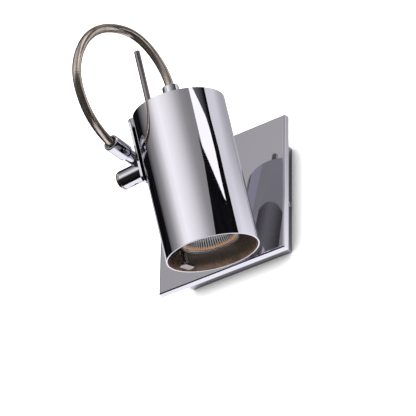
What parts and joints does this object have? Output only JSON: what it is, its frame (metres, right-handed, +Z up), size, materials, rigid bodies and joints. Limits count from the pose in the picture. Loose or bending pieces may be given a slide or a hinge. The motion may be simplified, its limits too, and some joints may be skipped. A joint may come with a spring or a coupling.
{
  "type": "wall spotlight",
  "caption": "Chrome wall spotlight: a square wall plate with a swivelling arm, a tilting cylindrical head, an exposed lead conduit and a sliding lamp rod",
  "frame": {"origin": "centre of the square wall plate, on the wall's surface, which is the centre of the two fixing slots", "axes": "+Z up, -Y out of the wall, +X to the right seen from the room"},
  "size_m": [0.14, 0.2129, 0.2158],
  "materials": {
    "chrome": "polished chrome plating",
    "zinc_steel": "zinc-plated steel",
    "black_steel": "blackened steel",
    "conduit": "finely wound nickel-plated strip",
    "nickel_ring": "satin nickel",
    "lamp_reflector": "fluted mirror coating",
    "lamp_glass": "clear glass",
    "ceramic": "unglazed ceramic",
    "terminal_plastic": "white moulded plastic",
    "rubber": "black rubber"
  },
  "bodies": {
    "base": {"cover_plate": "chrome", "cover_box": "chrome", "crossbar": "zinc_steel", "cable_grommet": "rubber", "terminal_block": "terminal_plastic", "earth_screw": "zinc_steel", "side_screw_left": "chrome", "side_screw_right": "chrome", "arm_bearing": "chrome", "arm_bearing_nut": "zinc_steel", "stop_pin": "zinc_steel"},
    "arm": {"arm_tube": "chrome", "arm_collar": "chrome", "arm_stop_washer": "zinc_steel", "arm_locknut": "zinc_steel", "arm_ferrule": "chrome", "arm_ferrule_grub": "black_steel", "knuckle": "chrome", "knuckle_cap": "chrome", "knuckle_grub": "black_steel", "knuckle_end_grub": "black_steel", "conduit": "conduit"},
    "head": {"head_tube": "chrome", "head_cap": "chrome", "cap_ferrule": "chrome", "cap_ferrule_base": "chrome", "cap_ferrule_nut": "zinc_steel", "cap_ferrule_grub": "black_steel", "bracket_plate": "chrome", "bracket_screw_upper": "chrome", "bracket_screw_lower": "chrome", "bracket_nut_upper": "zinc_steel", "bracket_nut_lower": "zinc_steel", "tilt_pin": "zinc_steel", "tilt_washer": "zinc_steel", "rod_guide": "chrome", "rod_guide_nut": "zinc_steel", "rod_guide_grub": "black_steel"},
    "carriage": {"rod": "chrome", "rod_foot": "chrome", "lamp_ring": "nickel_ring", "lamp_ring_grub": "black_steel", "lamp_clip": "zinc_steel", "lamp_reflector": "lamp_reflector", "lamp_glass": "lamp_glass", "lamp_burner": "lamp_glass", "lamp_base": "ceramic", "lamp_pin_front": "zinc_steel", "lamp_pin_rear": "zinc_steel", "lamp_holder": "ceramic", "holder_bridge": "zinc_steel", "holder_bridge_grub": "black_steel", "holder_screw_front": "zinc_steel", "holder_screw_rear": "zinc_steel"}
  },
  "joints": [
    {"name": "swivel", "type": "hinge", "parent": "base", "child": "arm", "pos_m": [-0.0343, -0.1, 0.0174], "axis": [0, 1, 0], "range_deg": [-160, 160]},
    {"name": "tilt", "type": "hinge", "parent": "arm", "child": "head", "pos_m": [0.01895, -0.10545, 0.0134], "axis": [-0.9972, 0, -0.0753], "range_deg": [-2, 45], "deforming": ["conduit"]},
    {"name": "lamp_slide", "type": "slide", "parent": "head", "child": "carriage", "axis": [-0.0722, -0.2849, 0.9558], "range_m": [-0.04, 0.03]}
  ]
}
